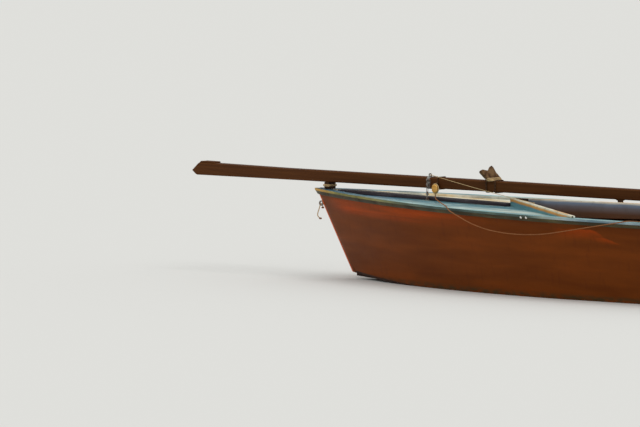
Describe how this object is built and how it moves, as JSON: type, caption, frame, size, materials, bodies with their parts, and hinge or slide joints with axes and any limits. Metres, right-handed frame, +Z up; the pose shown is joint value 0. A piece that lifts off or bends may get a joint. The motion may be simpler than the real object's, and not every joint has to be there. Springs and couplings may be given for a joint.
{
  "type": "rowing boat",
  "caption": "open wooden rowing boat with a V-fronted foredeck, thwarts, rowlocks, a hung rudder and its mast lowered along the centreline",
  "frame": {"origin": "on the waterline, on the centreline amidships", "axes": "+X to the bow, +Y to port, +Z up"},
  "size_m": [6.6449, 1.4454, 1.2278],
  "materials": {
    "hull_planks": "glossy red-brown tar and varnish over plank sides, worn and streaked",
    "tarred_planks": "dark tar below the water",
    "dark_timber": "old dark brown timber, weathered",
    "inner_timber": "dark blue-brown timber inside the boat",
    "floor_wood": "bare worn boards",
    "seat_wood": "worn brown thwarts",
    "rail_paint": "old teal and blue-grey oil paint on timber, chipped",
    "deck_paint": "cream-white oil paint with a teal tint, flaking",
    "coaming_paint": "cream and teal paint worn through to orange-gold wood",
    "mast_wood": "dark oiled spar",
    "galvanised_steel": "dull galvanised iron with rust",
    "block_wood": "varnished golden wood",
    "fork_paint": "pale grey-brown weathered board",
    "pale_rope": "pale tan laid rope",
    "red_rope": "reddish-tan laid rope",
    "dark_rope": "old tarred rope, nearly as dark as the mast"
  },
  "bodies": {
    "hull": {"stem": "dark_timber", "bottom": "tarred_planks", "side_port": "hull_planks", "side_starboard": "hull_planks", "transom": "hull_planks", "keel_strip": "tarred_planks", "skeg": "tarred_planks", "chine_logs": "inner_timber", "inwales": "inner_timber", "risers": "inner_timber", "strakes": "rail_paint", "capping": "rail_paint", "floor_timbers": "inner_timber", "ribs": "inner_timber", "floor_boards": "floor_wood", "mast_thwart": "seat_wood", "rowing_thwart": "seat_wood", "stern_seat": "seat_wood", "thwart_knees": "inner_timber", "mast_step": "inner_timber", "foredeck": "deck_paint", "deck_beams": "inner_timber", "carlins": "inner_timber", "king_plank": "dark_timber", "coaming": "coaming_paint", "coaming_post": "dark_timber", "quarter_knees": "dark_timber", "mast": "mast_wood", "bow_chock": "dark_timber", "stern_crutch": "dark_timber", "heel_chock": "mast_wood", "rowlock_pads": "dark_timber", "rowlock_sockets": "galvanised_steel", "rudder_gudgeons": "galvanised_steel", "bow_eye": "galvanised_steel", "stern_eyes": "galvanised_steel", "mast_hoop": "galvanised_steel", "deck_eye": "galvanised_steel", "bottlescrew": "galvanised_steel", "block_shell": "block_wood", "block_strop": "dark_rope", "fork_board": "fork_paint", "mast_lashings": "pale_rope", "cap_cleats": "dark_timber", "slack_line": "red_rope", "bow_tail": "pale_rope"},
    "rowlock_port": {"rowlock_port": "galvanised_steel"},
    "rowlock_starboard": {"rowlock_starboard": "galvanised_steel"},
    "rudder": {"rudder_blade": "hull_planks", "rudder_cheeks": "dark_timber", "rudder_pintles": "galvanised_steel"},
    "block_sheave": {"block_sheave": "block_wood"}
  },
  "joints": [
    {"name": "rowlock_turn_port", "type": "hinge", "parent": "hull", "child": "rowlock_port", "pos_m": [-1.442, 0.61987, 0.6312], "axis": [0, 0, 1], "continuous": true},
    {"name": "rowlock_turn_starboard", "type": "hinge", "parent": "hull", "child": "rowlock_starboard", "pos_m": [-1.442, -0.61987, 0.6312], "axis": [0, 0, 1], "continuous": true},
    {"name": "rudder_swing", "type": "hinge", "parent": "hull", "child": "rudder", "pos_m": [-2.52889, 0, -0.00556], "axis": [-0.1736, 0, 0.9848], "range_deg": [-40, 40]},
    {"name": "sheave_spin", "type": "hinge", "parent": "hull", "child": "block_sheave", "pos_m": [1.364, 0.072, 0.70518], "axis": [0, 1, 0], "continuous": true}
  ]
}
